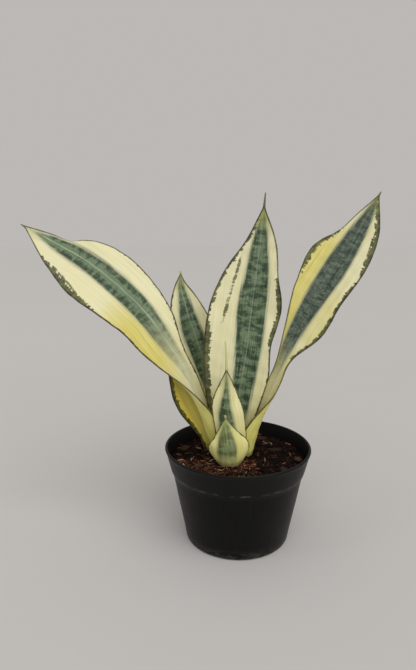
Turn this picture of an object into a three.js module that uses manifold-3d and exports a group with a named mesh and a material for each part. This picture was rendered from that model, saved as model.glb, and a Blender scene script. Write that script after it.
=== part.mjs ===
// A potted snake plant: one crown of seven channelled, variegated leaves standing
// in a thin black plastic pot of potting mix.  Millimetres, +Z up.  The pot stands
// on z = 0 about the Z axis and the front of the plant looks along -Y.
import * as THREE from 'three';
import Module from 'manifold-3d';
import { mergeVertices } from 'three/addons/utils/BufferGeometryUtils.js';

// ---------------------------------------------------------------- the pot
const RIM_RADIUS = 65;          // outer radius of the lip
const POT_HEIGHT = 86;          // surface to the top of the lip
const BASE_RADIUS = 46.8;       // outer radius just above the rounded foot
const FOOT_ROUND = 3;           // radius of the rounded bottom corner
const LIP_WIDTH = 0.7;          // how far the lip stands out from the collar under it
const LIP_DEPTH = 3;            // top of the lip to its underside
const COLLAR_DEPTH = 20;        // top of the lip to the bottom of the collar
const COLLAR_TAPER = 4.5;       // how much narrower the collar is at its bottom
const STEP_WIDTH = 1.5;         // how far the collar stands out from the body
const STEP_DEPTH = 2;           // height over which it does so
const WALL = 1.6;               // wall thickness
const BASE_THICKNESS = 2.2;
const HOLE_RADIUS = 4;          // drainage holes in the base
const HOLE_INSET = 15.8;        // from the base's outer radius in to their centres
const HOLE_COUNT = 6;
const POT_SEGMENTS = 64;

const LIP_BOTTOM = POT_HEIGHT - LIP_DEPTH;
const COLLAR_TOP_RADIUS = RIM_RADIUS - LIP_WIDTH;
const COLLAR_BOTTOM = POT_HEIGHT - COLLAR_DEPTH;
const COLLAR_BOTTOM_RADIUS = COLLAR_TOP_RADIUS - COLLAR_TAPER;
const BODY_TOP = COLLAR_BOTTOM - STEP_DEPTH;
const BODY_TOP_RADIUS = COLLAR_BOTTOM_RADIUS - STEP_WIDTH;

// ---------------------------------------------------------------- the potting mix
const SOIL_DROP = 10;           // top of the lip to the mix's mean surface
const SOIL_RELIEF = 1.6;        // height of the lumps in it
const SOIL_SEGMENTS = 40;
const SOIL_RINGS = 8;
const GAP = 0.4;                // clearance kept between neighbouring pieces
const SLOT_RISE = 8;            // the leaves' slots in the mix reach this far above it
const SOIL_LEVEL = POT_HEIGHT - SOIL_DROP;

// Chips on the surface: place to the right and to the back, as shares of the mix's
// radius, then length, width (millimetres), turn and tilt (radians).
const HUSK_THICKNESS = 2;
const HUSK_CHIPS = [
  [-0.44, -0.8, 9, 5, 0.3, 0.1],
  [-0.75, -0.56, 12, 5, 2.2, -0.1],
  [-0.59, -0.44, 8, 5, 0.9, 0.12],
  [0.51, -0.75, 10, 5, -0.4, -0.08],
  [0.63, -0.53, 8, 6, 1.4, 0.1],
  [0.88, -0.2, 8, 5, 1.9, -0.1],
  [0.58, 0.1, 11, 6, 0.2, 0.1],
  [0.37, 0.58, 12, 6, 2.7, -0.1],
  [-0.17, 0.75, 10, 6, 0.5, 0.1],
  [-0.8, 0.17, 9, 6, 1.2, 0.08],
];

// ---------------------------------------------------------------- below the surface
const FOOT_DEPTH = 16;          // how deep in the mix the leaves' feet are
const FOOT_GAP = 1.4;           // from the leaves' feet down to the underground stem
const RHIZOME_MARGIN = 1.8;     // the stem is a knob that reaches this far past the feet
const RHIZOME_DEPTH = 14;
const RHIZOME_CENTRE = [-8, -2];
const ROOT_RADIUS = 1.8;
const ROOTS = [                 // direction (radians), reach and drop
  [0.3, 44, 24],
  [1.5, 42, 28],
  [2.7, 34, 22],
  [3.8, 34, 30],
  [4.9, 38, 26],
  [5.8, 44, 32],
];
const FOOT_LEVEL = SOIL_LEVEL - FOOT_DEPTH;

// ---------------------------------------------------------------- the leaves
// path: points the midrib runs through, foot to tip, heights above the feet.  awl: length of the hard thin
// point the blade ends in.  left, right: half widths along the surface at nine even
// stations up to the awl (looking at the inner face).  cup: half angle of the channel,
// degrees, at the same stations.  face: where the inner face looks, at the foot, at
// `bend` of the length, and at the tip.  rib, rim: thickness at the foot's midrib and
// at the margins.  wave: height, count and phase of the ripple along the margins.
const LEAVES = {
  leaf_left: {
    path: [[-15, 2, 0], [-19, 3, 20], [-25, 3, 38], [-32, 5, 60], [-44, 10, 89],
      [-65, 17, 120], [-89, 26, 149], [-135, 40, 186], [-199, 52, 220]],
    awl: 5,
    left: [10, 17, 23, 28, 33, 37, 38, 24, 1],
    right: [9, 11, 8, 9, 20, 27, 26, 10, 1],
    cup: [85, 80, 62, 34, 20, 16, 14, 12, 10],
    face: [[1, 0.3, 0.3], [0.35, -0.75, 0.55], [0.15, -0.85, 0.45]],
    bend: 0.46, rib: 3.4, rim: 1, wave: [0.8, 2.2, 0.2],
  },
  leaf_back: {
    path: [[-5, 19, 0], [-10, 22, 40], [-29, 30, 93], [-42, 35, 129], [-51, 40, 161],
      [-52, 42, 178]],
    awl: 4,
    left: [5, 6, 8, 13, 19, 20, 19, 13, 1],
    right: [6, 8, 12, 16, 18, 19, 18, 12, 1],
    cup: [50, 46, 42, 36, 28, 24, 20, 16, 12],
    face: [[0, -1, 0.1], [0.2, -1, 0.1], [0.2, -1, 0.1]],
    bend: 0.5, rib: 3, rim: 1, wave: [0.4, 2, 0.5],
  },
  leaf_centre: {
    path: [[-5, 4, 0], [-2, 5, 40], [2, 6, 71], [7, 9, 108], [15, 17, 173],
      [20, 22, 214], [23, 26, 247]],
    awl: 13,
    left: [6, 16, 29, 36, 39, 38, 29, 13, 0.8],
    right: [6, 13, 18, 23, 21, 26, 20, 14, 0.8],
    cup: [60, 50, 36, 28, 24, 21, 18, 16, 14],
    face: [[0, -1, 0.1], [0, -1, 0.1], [-0.1, -1, 0.1]],
    bend: 0.5, rib: 3.4, rim: 1, wave: [0.6, 2.4, 0],
  },
  leaf_right: {
    path: [[6, 0, 0], [10, 0, 20], [15, 1, 40], [22, 3, 61], [33, 6, 88], [47, 12, 120],
      [66, 20, 152], [93, 32, 190], [116, 43, 226], [130, 50, 249]],
    awl: 5,
    left: [8, 10, 7, 5, 12, 23, 29, 14, 1],
    right: [10, 17, 17, 8, 24, 24, 25, 19, 1],
    cup: [85, 80, 62, 34, 20, 16, 14, 12, 10],
    face: [[-1, 0.3, 0.3], [-0.35, -0.85, 0.4], [-0.4, -0.9, 0.3]],
    bend: 0.46, rib: 3.4, rim: 1, wave: [0.8, 2.2, 0],
  },
  leaf_left_low: {
    path: [[-25, 7, 0], [-28, 9, 22], [-36, 13, 43], [-48, 18, 65], [-57, 23, 88],
      [-63, 28, 112]],
    awl: 4,
    left: [2, 3, 5, 9, 12, 12, 9, 5, 1],
    right: [7, 10, 13, 14, 14, 12, 9, 5, 1],
    cup: [60, 54, 38, 28, 22, 18, 16, 14, 10],
    face: [[1, -0.8, 0.1], [0.6, -1, 0.4], [0.6, -1, 0.4]],
    bend: 0.5, rib: 3, rim: 1, wave: [0.3, 2, 0],
  },
  leaf_front: {
    path: [[-5, -13, 0], [-6, -17, 31], [-7, -18, 45], [-9, -19, 59], [-11, -19, 71],
      [-11, -17, 87], [-11, -15, 100], [-12, -12, 124]],
    awl: 26,
    left: [6, 9, 12, 14, 14, 14, 12, 7, 0.9],
    right: [6, 9, 12, 14, 14, 14, 12, 7, 0.9],
    cup: [60, 56, 50, 44, 38, 32, 26, 20, 15],
    face: [[0, 1, 0], [0, 1, 0], [0, 1, 0]],
    bend: 0.5, rib: 3, rim: 0.9, wave: [0, 1, 0],
  },
  leaf_front_small: {
    path: [[-8, -21, 0], [-8, -26, 18], [-9, -28, 35], [-11, -26, 50], [-12, -23, 62]],
    awl: 3,
    left: [5, 6, 9, 15, 19, 18, 12, 6, 1],
    right: [5, 6, 9, 15, 19, 18, 12, 6, 1],
    cup: [60, 60, 58, 54, 48, 42, 36, 28, 20],
    face: [[0, 1, 0], [0, 1, 0], [0, 1, 0]],
    bend: 0.5, rib: 2.6, rim: 0.9, wave: [0, 1, 0],
  },
};
const STATIONS = 26;            // cross sections along a leaf
const ACROSS = 9;               // points across each face of a leaf
const FINEST = 0.02;            // edges finer than this are left out of every piece

const LOOKS = {
  pot: [0x26272a, 0.45],
  potting_mix: [0x2a1a14, 0.95],
  rhizome: [0xb99a62, 0.7],
  leaf: [0x9fae6a, 0.5],
  husk: [0x7a5136, 0.9],
};

const wasm = await Module();
wasm.setup();

// One closed surface with shared corners and no slivers of zero area.
function tidy(geometry) {
  geometry.deleteAttribute('normal');
  geometry.deleteAttribute('uv');
  const merged = mergeVertices(geometry, 1e-4);
  const faces = merged.getIndex().array;
  const kept = [];
  for (let i = 0; i < faces.length; i += 3) {
    const [a, b, c] = [faces[i], faces[i + 1], faces[i + 2]];
    if (a !== b && b !== c && c !== a) kept.push(a, b, c);
  }
  merged.setIndex(kept);
  return merged;
}

function toSolid(geometry) {
  const merged = tidy(geometry);
  const vertProperties = new Float32Array(merged.getAttribute('position').array);
  const triVerts = new Uint32Array(merged.getIndex().array);
  return new wasm.Manifold(new wasm.Mesh({ numProp: 3, vertProperties, triVerts }));
}

function fromSolid(solid) {
  const mesh = solid.asOriginal().simplify(FINEST).getMesh();
  const geometry = new THREE.BufferGeometry();
  const positions = new Float32Array(mesh.vertProperties);
  geometry.setAttribute('position', new THREE.BufferAttribute(positions, 3));
  geometry.setIndex(new THREE.BufferAttribute(new Uint32Array(mesh.triVerts), 1));
  return geometry;
}

const plant = new THREE.Group();
plant.name = 'potted_snake_plant';

function add(name, geometry, look) {
  const [color, roughness] = LOOKS[look];
  geometry.computeVertexNormals();
  const material = new THREE.MeshStandardMaterial({ color, roughness, metalness: 0 });
  material.name = look;
  const mesh = new THREE.Mesh(geometry, material);
  mesh.name = name;
  plant.add(mesh);
}

// A skin over rings of points.  Round ends are closed by a fan; the ends of a
// crescent, whose two sides have matching points, by a band from side to side.
function loft(rings, crescent = false) {
  const count = rings[0].length;
  const points = rings.flat();
  const faces = [];
  for (let i = 0; i + 1 < rings.length; i += 1) {
    for (let j = 0; j < count; j += 1) {
      const k = (j + 1) % count;
      const [a, b] = [i * count + j, i * count + k];
      const [c, d] = [a + count, b + count];
      faces.push(a, b, d, a, d, c);
    }
  }
  for (const [start, flip] of [[0, true], [(rings.length - 1) * count, false]]) {
    if (crescent) {
      for (let j = 0; j < count / 2 - 1; j += 1) {
        const [a, b, c, d] = [j, j + 1, count - 2 - j, count - 1 - j].map((k) => start + k);
        faces.push(...(flip ? [a, c, b, a, d, c] : [a, b, c, a, c, d]));
      }
    } else {
      const middle = new THREE.Vector3();
      for (let j = 0; j < count; j += 1) middle.add(points[start + j]);
      points.push(middle.divideScalar(count));
      for (let j = 0; j < count; j += 1) {
        const [a, b] = [start + j, start + ((j + 1) % count)];
        faces.push(points.length - 1, flip ? b : a, flip ? a : b);
      }
    }
  }
  const geometry = new THREE.BufferGeometry().setFromPoints(points);
  geometry.setIndex(faces);
  return geometry;
}

// A smooth run through evenly spaced values, read at t from 0 to 1.
function along(values, t) {
  const last = values.length - 1;
  const at = Math.min(Math.max(t, 0), 1) * last;
  const i = Math.min(Math.floor(at), last - 1);
  const f = at - i;
  const [p, q] = [values[i], values[i + 1]];
  const before = i > 0 ? values[i - 1] : 2 * p - q;
  const after = i + 2 <= last ? values[i + 2] : 2 * q - p;
  const [m, n] = [(q - before) / 2, (after - p) / 2];
  const [f2, f3] = [f * f, f * f * f];
  return (2 * f3 - 3 * f2 + 1) * p + (f3 - 2 * f2 + f) * m
    + (3 * f2 - 2 * f3) * q + (f3 - f2) * n;
}

const ease = (f) => f * f * (3 - 2 * f);

// The cross sections of one leaf, each grown outward by `grow`.
function leafRings(leaf, grow = 0, ceiling = Infinity) {
  const points = leaf.path.map(([x, y, z]) => new THREE.Vector3(x, y, FOOT_LEVEL + z));
  const path = new THREE.CatmullRomCurve3(points, false, 'catmullrom', 0.5);
  const bladeEnd = 1 - leaf.awl / path.getLength();
  const [foot, blade, tip] = leaf.face.map((v) => new THREE.Vector3(...v).normalize());
  const rings = [];
  for (let i = 0; i < STATIONS; i += 1) {
    const t = Math.pow(i / (STATIONS - 1), 0.92);
    const centre = path.getPointAt(t);
    const tangent = path.getTangentAt(t);
    if (i === 0) centre.addScaledVector(tangent, -grow);
    const face = t < leaf.bend
      ? foot.clone().lerp(blade, ease(t / leaf.bend))
      : blade.clone().lerp(tip, ease((t - leaf.bend) / (1 - leaf.bend)));
    const normal = face.addScaledVector(tangent, -face.dot(tangent)).normalize();
    const side = tangent.clone().cross(normal);
    const s = t / bladeEnd;
    const cup = THREE.MathUtils.degToRad(along(leaf.cup, s));
    const sharp = s > 1 ? 1 - 0.5 * ((t - bladeEnd) / (1 - bladeEnd)) : 1;
    const left = along(leaf.left, s) * sharp;
    const right = along(leaf.right, s) * sharp;
    const rib = leaf.rib * (1 - 0.62 * ease(t)) * Math.min(1, 0.3 + 5 * (1 - t));
    const rim = leaf.rim * Math.min(1, 0.4 + 5 * (1 - t));
    const [height, count, phase] = leaf.wave;
    const swell = height * Math.sin(Math.PI * 2 * (count * t + phase)) * ease(t) * (1 - t) * 4;
    const inner = [];
    const outer = [];
    for (let j = 0; j < ACROSS; j += 1) {
      const u = (2 * j) / (ACROSS - 1) - 1;
      const half = u < 0 ? left + grow : right + grow;
      const turn = cup * Math.abs(u);
      const x = (Math.sign(u) * half * Math.sin(turn)) / cup;
      const y = (half * (1 - Math.cos(turn))) / cup + swell * Math.abs(u) ** 3;
      const thick = rim + (rib - rim) * (1 - Math.abs(u) ** 1.6);
      const across = side.clone().multiplyScalar(-Math.sign(u) * Math.sin(turn))
        .addScaledVector(normal, Math.cos(turn));
      const point = centre.clone().addScaledVector(side, x).addScaledVector(normal, y);
      inner.push(point.clone().addScaledVector(across, grow));
      outer.unshift(point.clone().addScaledVector(across, -thick - grow));
    }
    rings.push([...inner, ...outer]);
    if (centre.z > ceiling) break;
  }
  return rings;
}

// ---------------------------------------------------------------- the pot
// Turned in one piece: tapering body, a band under the lip that stands out a little,
// and the lip itself; the inside follows the outside at the wall's thickness.
const potOutline = [
  [0, 0],
  [BASE_RADIUS - FOOT_ROUND, 0],
  ...[0.25, 0.5, 0.75, 1].map((f) => [
    BASE_RADIUS - FOOT_ROUND * (1 - Math.sin((f * Math.PI) / 2)),
    FOOT_ROUND * (1 - Math.cos((f * Math.PI) / 2)),
  ]),
  [BODY_TOP_RADIUS, BODY_TOP],
  [COLLAR_BOTTOM_RADIUS, COLLAR_BOTTOM],
  [COLLAR_TOP_RADIUS, LIP_BOTTOM],
  [RIM_RADIUS - 0.6, LIP_BOTTOM + 0.3],
  [RIM_RADIUS, LIP_BOTTOM + 1],
  [RIM_RADIUS, POT_HEIGHT - 0.8],
  [RIM_RADIUS - 0.8, POT_HEIGHT],
  [COLLAR_TOP_RADIUS - WALL + 0.4, POT_HEIGHT],
  [COLLAR_TOP_RADIUS - WALL, POT_HEIGHT - 0.6],
  [COLLAR_BOTTOM_RADIUS - WALL, COLLAR_BOTTOM + 0.4],
  [BODY_TOP_RADIUS - WALL, BODY_TOP + 0.4],
  [BASE_RADIUS + 0.2 - WALL, FOOT_ROUND + 1],
  [BASE_RADIUS - FOOT_ROUND, BASE_THICKNESS],
  [0, BASE_THICKNESS],
];

function turned(outline, segments) {
  const points = outline.map(([r, z]) => new THREE.Vector2(r, z));
  return new THREE.LatheGeometry(points, segments).rotateX(Math.PI / 2);
}

let pot = toSolid(turned(potOutline, POT_SEGMENTS));
const circle = BASE_RADIUS - HOLE_INSET;
for (let i = 0; i < HOLE_COUNT; i += 1) {
  const angle = ((i + 0.5) * 2 * Math.PI) / HOLE_COUNT;
  const hole = new THREE.CylinderGeometry(HOLE_RADIUS, HOLE_RADIUS, 12, 20)
    .rotateX(Math.PI / 2)
    .translate(circle * Math.cos(angle), circle * Math.sin(angle), 0);
  pot = pot.subtract(toSolid(hole));
}
add('pot', fromSolid(pot), 'pot');

// ---------------------------------------------------------------- the leaves
for (const [name, leaf] of Object.entries(LEAVES)) {
  add(name, fromSolid(toSolid(loft(leafRings(leaf), true))), 'leaf');
}

// ---------------------------------------------------------------- rhizome and roots
// A short thick underground stem just below the leaves' feet, with tapering roots.
function rhizomeSolid(grow) {
  const [x, y] = RHIZOME_CENTRE;
  const z = FOOT_LEVEL - FOOT_GAP - RHIZOME_DEPTH / 2;
  const feet = Object.values(LEAVES).map(({ path: [foot] }) => foot);
  const outermost = Math.max(...feet.map((foot) => Math.hypot(foot[0] - x, foot[1] - y)));
  const r = outermost + RHIZOME_MARGIN + grow;
  const h = RHIZOME_DEPTH / 2 + grow;
  const knob = [[0, -h], [0.5 * r, -0.95 * h], [0.8 * r, -0.6 * h], [r, 0],
    [0.97 * r, 0.6 * h], [0.85 * r, h], [0, h]];
  let solid = toSolid(turned(knob, 28).translate(x, y, z));
  for (const [turn, reach, drop] of ROOTS) {
    const [cos, sin] = [Math.cos(turn), Math.sin(turn)];
    const root = new THREE.CatmullRomCurve3([
      new THREE.Vector3(x + 12 * cos, y + 12 * sin, z - 2),
      new THREE.Vector3(x + 0.6 * reach * cos, y + 0.6 * reach * sin, z - 0.35 * drop),
      new THREE.Vector3(x + reach * cos, y + reach * sin, z - drop),
    ]);
    const rings = [];
    for (let i = 0; i <= 6; i += 1) {
      const centre = root.getPointAt(i / 6);
      const tangent = root.getTangentAt(i / 6);
      if (i === 6) centre.addScaledVector(tangent, grow);
      const side = new THREE.Vector3(-sin, cos, 0);
      const up = tangent.clone().cross(side);
      const radius = ROOT_RADIUS * (1 - 0.1 * i) + grow;
      rings.push(Array.from({ length: 8 }, (_, j) => centre.clone()
        .addScaledVector(side, radius * Math.cos((j * Math.PI) / 4))
        .addScaledVector(up, radius * Math.sin((j * Math.PI) / 4))));
    }
    const made = toSolid(loft(rings));
    solid = solid.add(made);
  }
  return solid;
}
add('rhizome_and_roots', fromSolid(rhizomeSolid(0)), 'rhizome');

// Inner radius of the pot's wall at a height.
function inside(z) {
  const low = BASE_RADIUS + 0.2 - WALL;
  const mid = BODY_TOP_RADIUS - WALL;
  const step = COLLAR_BOTTOM_RADIUS - WALL;
  const top = COLLAR_TOP_RADIUS - WALL;
  if (z < BODY_TOP) {
    return low + ((mid - low) * (z - FOOT_ROUND - 1)) / (BODY_TOP - FOOT_ROUND - 1);
  }
  return step + ((top - step) * (z - COLLAR_BOTTOM)) / (POT_HEIGHT - COLLAR_BOTTOM);
}
const MIX_RADIUS = inside(SOIL_LEVEL - 2) - GAP;

// ---------------------------------------------------------------- husk chips
// Flat bits of coconut husk pressed into the surface of the mix.
function chipSolid(chip, grow) {
  const [across, back, length, width, turn, tilt] = chip;
  const [x, y] = [across * MIX_RADIUS, back * MIX_RADIUS];
  const thick = HUSK_THICKNESS / 2 + grow;
  const outline = [];
  for (let i = 0; i < 9; i += 1) {
    const angle = (i * 2 * Math.PI) / 9;
    const rough = 1 + 0.16 * Math.sin(angle * 3 + turn);
    outline.push(new THREE.Vector2(
      (length / 2) * rough * Math.cos(angle) + grow * Math.cos(angle),
      (width / 2) * rough * Math.sin(angle) + grow * Math.sin(angle),
    ));
  }
  const rings = [-1, -0.55, 0.55, 1].map((h) => outline.map((p) => new THREE.Vector3(
    p.x * (Math.abs(h) === 1 ? 0.82 : 1),
    p.y * (Math.abs(h) === 1 ? 0.7 : 1),
    h * thick + 0.03 * p.x * p.x,
  )));
  const geometry = loft(rings)
    .rotateY(tilt)
    .rotateZ(turn)
    .translate(x, y, soilHeight(x, y) + HUSK_THICKNESS * 0.3);
  return toSolid(geometry);
}

// ---------------------------------------------------------------- the potting mix
// A lumpy surface inside the pot's wall, down to the base.
function soilHeight(x, y) {
  const r = Math.hypot(x, y) / RIM_RADIUS;
  return SOIL_LEVEL + SOIL_RELIEF * (
    0.5 * Math.sin(x * 0.21 + 1.1) * Math.cos(y * 0.17 + 0.4)
    + 0.35 * Math.sin(x * 0.43 - y * 0.31 + 2.0)
    + 0.3 * Math.cos(x * 0.12 + y * 0.47 + 0.7)
    + 0.8 * (1 - r * r) - 0.3);
}

function soilSolid() {
  const around = (radius, z) => Array.from({ length: SOIL_SEGMENTS }, (_, j) => {
    const angle = (j * 2 * Math.PI) / SOIL_SEGMENTS;
    const [x, y] = [radius * Math.cos(angle), radius * Math.sin(angle)];
    return new THREE.Vector3(x, y, z === null ? soilHeight(x, y) : z);
  });
  const floor = BASE_THICKNESS + GAP;
  const rings = [
    around(20, floor),
    around(BASE_RADIUS - FOOT_ROUND - 1, floor),
    around(inside(FOOT_ROUND + 2) - GAP, FOOT_ROUND + 2.5),
    around(inside(BODY_TOP - 1) - GAP, BODY_TOP + 0.6),
    around(inside(COLLAR_BOTTOM) - GAP, COLLAR_BOTTOM + 1.2),
  ];
  for (let i = 0; i < SOIL_RINGS; i += 1) {
    rings.push(around((MIX_RADIUS * (SOIL_RINGS - i)) / SOIL_RINGS, null));
  }
  return toSolid(loft(rings));
}

let soil = soilSolid().subtract(rhizomeSolid(GAP));
for (const leaf of Object.values(LEAVES)) {
  soil = soil.subtract(toSolid(loft(leafRings(leaf, GAP, SOIL_LEVEL + SLOT_RISE), true)));
}
HUSK_CHIPS.forEach((chip, i) => {
  soil = soil.subtract(chipSolid(chip, GAP));
  add(`husk_chip_${String(i + 1).padStart(2, '0')}`, fromSolid(chipSolid(chip, 0)), 'husk');
});
add('potting_mix', fromSolid(soil), 'potting_mix');

export default plant;
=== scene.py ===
import math
import random
import bpy
import numpy as np
from mathutils import Matrix, Vector, noise
from mathutils.bvhtree import BVHTree


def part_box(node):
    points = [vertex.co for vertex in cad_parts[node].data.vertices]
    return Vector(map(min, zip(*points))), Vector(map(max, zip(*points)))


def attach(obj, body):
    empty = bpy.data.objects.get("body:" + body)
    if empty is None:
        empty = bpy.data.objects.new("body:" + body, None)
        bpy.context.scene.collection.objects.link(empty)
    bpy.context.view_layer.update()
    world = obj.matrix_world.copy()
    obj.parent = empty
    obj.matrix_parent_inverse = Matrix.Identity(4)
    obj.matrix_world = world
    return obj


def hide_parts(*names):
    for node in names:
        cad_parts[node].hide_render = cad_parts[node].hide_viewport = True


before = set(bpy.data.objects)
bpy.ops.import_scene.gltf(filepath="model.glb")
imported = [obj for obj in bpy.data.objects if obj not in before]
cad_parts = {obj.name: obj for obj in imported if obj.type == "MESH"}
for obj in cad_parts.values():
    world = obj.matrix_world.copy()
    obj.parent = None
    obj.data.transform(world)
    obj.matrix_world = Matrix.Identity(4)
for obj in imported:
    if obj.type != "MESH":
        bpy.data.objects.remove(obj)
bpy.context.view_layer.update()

MM = 0.001


# ---------------------------------------------------------------- bench habits
def put_down_everything():
    """Leaves edit mode and deselects all, so that the next operator acts on one piece."""
    if bpy.context.object and bpy.context.object.mode != "OBJECT":
        bpy.ops.object.mode_set(mode="OBJECT")
    bpy.ops.object.select_all(action="DESELECT")


def pick_up(piece):
    put_down_everything()
    piece.select_set(True)
    bpy.context.view_layer.objects.active = piece


def open_for_shaping():
    """Edit mode, with every face picked."""
    bpy.ops.object.mode_set(mode="EDIT")
    bpy.ops.mesh.select_mode(type="FACE")
    bpy.ops.mesh.select_all(action="SELECT")


def draw_up(rise, widening):
    """Pulls the picked faces up by rise and scales them about the upright axis."""
    bpy.ops.mesh.extrude_region_move(TRANSFORM_OT_translate={"value": (0, 0, rise)})
    bpy.ops.transform.resize(value=(widening, widening, 1), center_override=(0, 0, 0))


def close_shape():
    """Turns every face outwards and leaves edit mode."""
    bpy.ops.mesh.select_all(action="SELECT")
    bpy.ops.mesh.normals_make_consistent(inside=False)
    bpy.ops.object.mode_set(mode="OBJECT")


def finish_shape(piece, kind, **settings):
    """Adds one modifier and applies it."""
    pick_up(piece)
    modifier = piece.modifiers.new(kind.title(), kind)
    for name, value in settings.items():
        setattr(modifier, name, value)
    bpy.ops.object.modifier_apply(modifier=modifier.name)


def smooth(piece, angle):
    pick_up(piece)
    bpy.ops.object.shade_smooth_by_angle(angle=math.radians(angle))


def settle(piece):
    """Puts the piece's place into its mesh."""
    pick_up(piece)
    bpy.ops.object.transform_apply(location=True, rotation=True, scale=True)


def points_of(piece):
    flat = np.empty(len(piece.data.vertices) * 3)
    piece.data.vertices.foreach_get("co", flat)
    return flat.reshape(-1, 3)


def move_points(piece, points):
    piece.data.vertices.foreach_set("co", np.asarray(points, float).ravel())
    piece.data.update()


def note(piece, name, values):
    """One number at each point of the piece, for its finish to read."""
    attribute = piece.data.attributes.new(name, "FLOAT", "POINT")
    attribute.data.foreach_set("value", np.asarray(values, float).ravel())


def joined(pieces, name):
    put_down_everything()
    for piece in pieces:
        piece.select_set(True)
    bpy.context.view_layer.objects.active = pieces[0]
    bpy.ops.object.join()
    whole = bpy.context.object
    whole.name = name
    return whole


# ---------------------------------------------------------------- finishes
def shade(red, green, blue):
    """A paint colour, given out of 255, as the light it gives back."""
    return tuple(((c / 255 + 0.055) / 1.055) ** 2.4 if c > 10 else c / 3295
                 for c in (red, green, blue))


class Wire:
    """A socket in a finish's tree that takes part in arithmetic."""

    def __init__(self, finish, socket):
        self.finish = finish
        self.socket = socket

    def maths(self, operation, first, second):
        return self.finish.node("ShaderNodeMath", {"operation": operation},
                                {0: first, 1: second})

    def __add__(self, other):
        return self.maths("ADD", self, other)

    __radd__ = __add__

    def __sub__(self, other):
        return self.maths("SUBTRACT", self, other)

    def __rsub__(self, other):
        return self.maths("SUBTRACT", other, self)

    def __mul__(self, other):
        return self.maths("MULTIPLY", self, other)

    __rmul__ = __mul__


class Finish:
    """A material built up from wires."""

    def __init__(self, name):
        self.material = bpy.data.materials.new(name)
        self.material.use_nodes = True
        self.tree = self.material.node_tree
        self.tree.nodes.clear()

    def node(self, kind, settings=None, inputs=None, output=0):
        """Adds a node: its settings first, then its sockets, by name or number."""
        made = self.tree.nodes.new(kind)
        for name, value in (settings or {}).items():
            if name == "stops":
                self.set_stops(made.color_ramp, value)
            else:
                setattr(made, name, value)
        for name, value in (inputs or {}).items():
            socket = self.find(made.inputs, name)
            if isinstance(value, Wire):
                self.tree.links.new(value.socket, socket)
            else:
                socket.default_value = value
        return Wire(self, self.find(made.outputs, output)) if made.outputs else None

    @staticmethod
    def find(sockets, name):
        if isinstance(name, int):
            return sockets[name]
        for socket in sockets:
            if socket.identifier == name or socket.name == name and socket.enabled:
                return socket
        raise KeyError(name)

    @staticmethod
    def set_stops(ramp, stops):
        while len(ramp.elements) > 1:
            ramp.elements.remove(ramp.elements[-1])
        for i, (place, colour) in enumerate(stops):
            stop = ramp.elements[0] if i == 0 else ramp.elements.new(place)
            stop.position = place
            stop.color = (*colour, 1.0)

    def mix(self, factor, a, b):
        """Colour a turning into colour b as factor goes from 0 to 1."""
        first, second = (c if isinstance(c, Wire) else (*c, 1.0) for c in (a, b))
        return self.node("ShaderNodeMix", {"data_type": "RGBA"},
                         {"Factor_Float": factor, "A_Color": first, "B_Color": second},
                         "Result_Color")

    def ease(self, value, low, high):
        """0 below low, 1 above high, smooth between."""
        return self.node("ShaderNodeMapRange", {"interpolation_type": "SMOOTHSTEP"},
                         {"Value": value, "From Min": low, "From Max": high})

    def noted(self, name):
        return self.node("ShaderNodeAttribute", {"attribute_name": name}, None, "Fac")

    def place(self):
        return self.node("ShaderNodeTexCoord", None, None, "Object")

    def stretched(self, vector, scale):
        return self.node("ShaderNodeVectorMath", {"operation": "MULTIPLY"},
                         {0: vector, 1: scale})

    def cloud(self, vector, scale, detail=3.0, roughness=0.5, distortion=0.0):
        return self.node("ShaderNodeTexNoise", None,
                         {"Vector": vector, "Scale": scale, "Detail": detail,
                          "Roughness": roughness, "Distortion": distortion}, "Fac")

    def bump(self, height, strength, distance, under=None):
        inputs = {"Height": height, "Strength": strength, "Distance": distance}
        if under is not None:
            inputs["Normal"] = under
        return self.node("ShaderNodeBump", None, inputs, "Normal")

    def surface(self, colour, roughness, normal, **fixed):
        """The finished material; fixed holds sockets that are the same all over."""
        inputs = {"Base Color": colour, "Roughness": roughness, "Normal": normal}
        inputs.update({name.replace("_", " "): value for name, value in fixed.items()})
        shader = self.node("ShaderNodeBsdfPrincipled", None, inputs)
        self.node("ShaderNodeOutputMaterial", None, {"Surface": shader})
        return self.material


def coat_with(piece, material):
    piece.data.materials.clear()
    piece.data.materials.append(material)


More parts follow.
